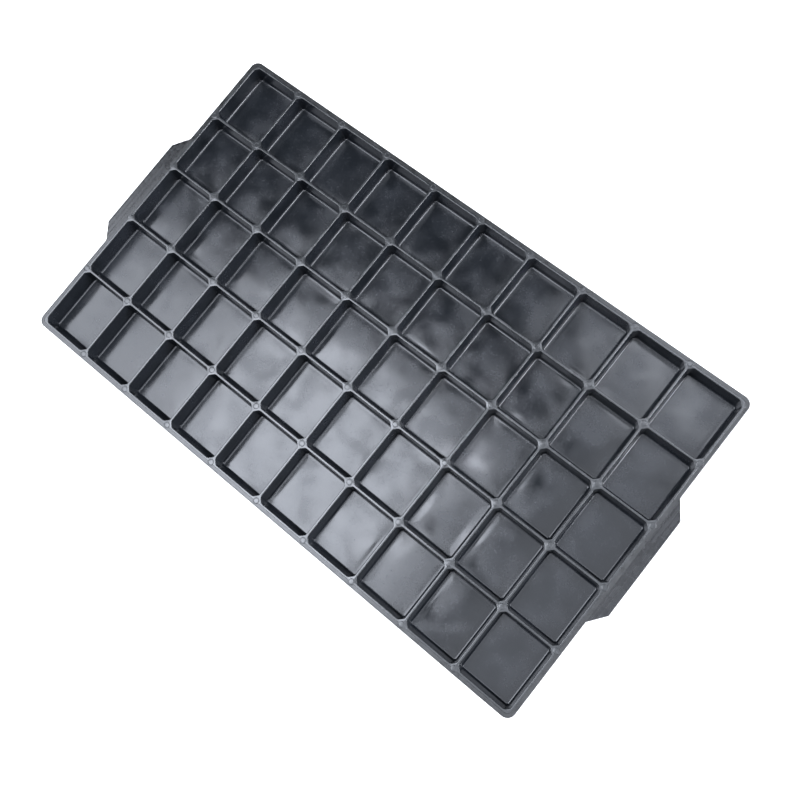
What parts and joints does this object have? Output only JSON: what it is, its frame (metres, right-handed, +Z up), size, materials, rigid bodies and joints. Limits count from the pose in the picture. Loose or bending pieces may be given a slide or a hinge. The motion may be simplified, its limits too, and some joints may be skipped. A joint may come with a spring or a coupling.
{
  "type": "plug tray",
  "caption": "Shallow rectangular seedling tray of moulded black plastic: a grid of open drafted pockets inside a flanged rim, with a grooved grip tab at each short end.",
  "frame": {"origin": "middle of the tray in plan, on the surface that the tray stands on", "axes": "+X along the long side, from column 1 towards column 10; +Y across the tray, from row 5 towards row 1; +Z up, out of the pockets' mouths"},
  "size_m": [0.5534, 0.3112, 0.018],
  "materials": {
    "pocket_plastic": "satin-gloss injection-moulded black polypropylene, polished mould face",
    "deck_plastic": "satin injection-moulded black polypropylene",
    "rim_plastic": "fine-textured injection-moulded black polypropylene",
    "tab_plastic": "fine-textured, grooved injection-moulded black polypropylene"
  },
  "bodies": {
    "root": {"cell_r1_c01": "pocket_plastic", "cell_r1_c02": "pocket_plastic", "cell_r1_c03": "pocket_plastic", "cell_r1_c04": "pocket_plastic", "cell_r1_c05": "pocket_plastic", "cell_r1_c06": "pocket_plastic", "cell_r1_c07": "pocket_plastic", "cell_r1_c08": "pocket_plastic", "cell_r1_c09": "pocket_plastic", "cell_r1_c10": "pocket_plastic", "cell_r2_c01": "pocket_plastic", "cell_r2_c02": "pocket_plastic", "cell_r2_c03": "pocket_plastic", "cell_r2_c04": "pocket_plastic", "cell_r2_c05": "pocket_plastic", "cell_r2_c06": "pocket_plastic", "cell_r2_c07": "pocket_plastic", "cell_r2_c08": "pocket_plastic", "cell_r2_c09": "pocket_plastic", "cell_r2_c10": "pocket_plastic", "cell_r3_c01": "pocket_plastic", "cell_r3_c02": "pocket_plastic", "cell_r3_c03": "pocket_plastic", "cell_r3_c04": "pocket_plastic", "cell_r3_c05": "pocket_plastic", "cell_r3_c06": "pocket_plastic", "cell_r3_c07": "pocket_plastic", "cell_r3_c08": "pocket_plastic", "cell_r3_c09": "pocket_plastic", "cell_r3_c10": "pocket_plastic", "cell_r4_c01": "pocket_plastic", "cell_r4_c02": "pocket_plastic", "cell_r4_c03": "pocket_plastic", "cell_r4_c04": "pocket_plastic", "cell_r4_c05": "pocket_plastic", "cell_r4_c06": "pocket_plastic", "cell_r4_c07": "pocket_plastic", "cell_r4_c08": "pocket_plastic", "cell_r4_c09": "pocket_plastic", "cell_r4_c10": "pocket_plastic", "cell_r5_c01": "pocket_plastic", "cell_r5_c02": "pocket_plastic", "cell_r5_c03": "pocket_plastic", "cell_r5_c04": "pocket_plastic", "cell_r5_c05": "pocket_plastic", "cell_r5_c06": "pocket_plastic", "cell_r5_c07": "pocket_plastic", "cell_r5_c08": "pocket_plastic", "cell_r5_c09": "pocket_plastic", "cell_r5_c10": "pocket_plastic", "lengthwise_ribs": "deck_plastic", "crosswise_ribs": "deck_plastic", "junction_pads": "deck_plastic", "front_rim": "rim_plastic", "back_rim": "rim_plastic", "left_rim": "rim_plastic", "right_rim": "rim_plastic", "left_grip_tab": "tab_plastic", "right_grip_tab": "tab_plastic"}
  },
  "joints": []
}
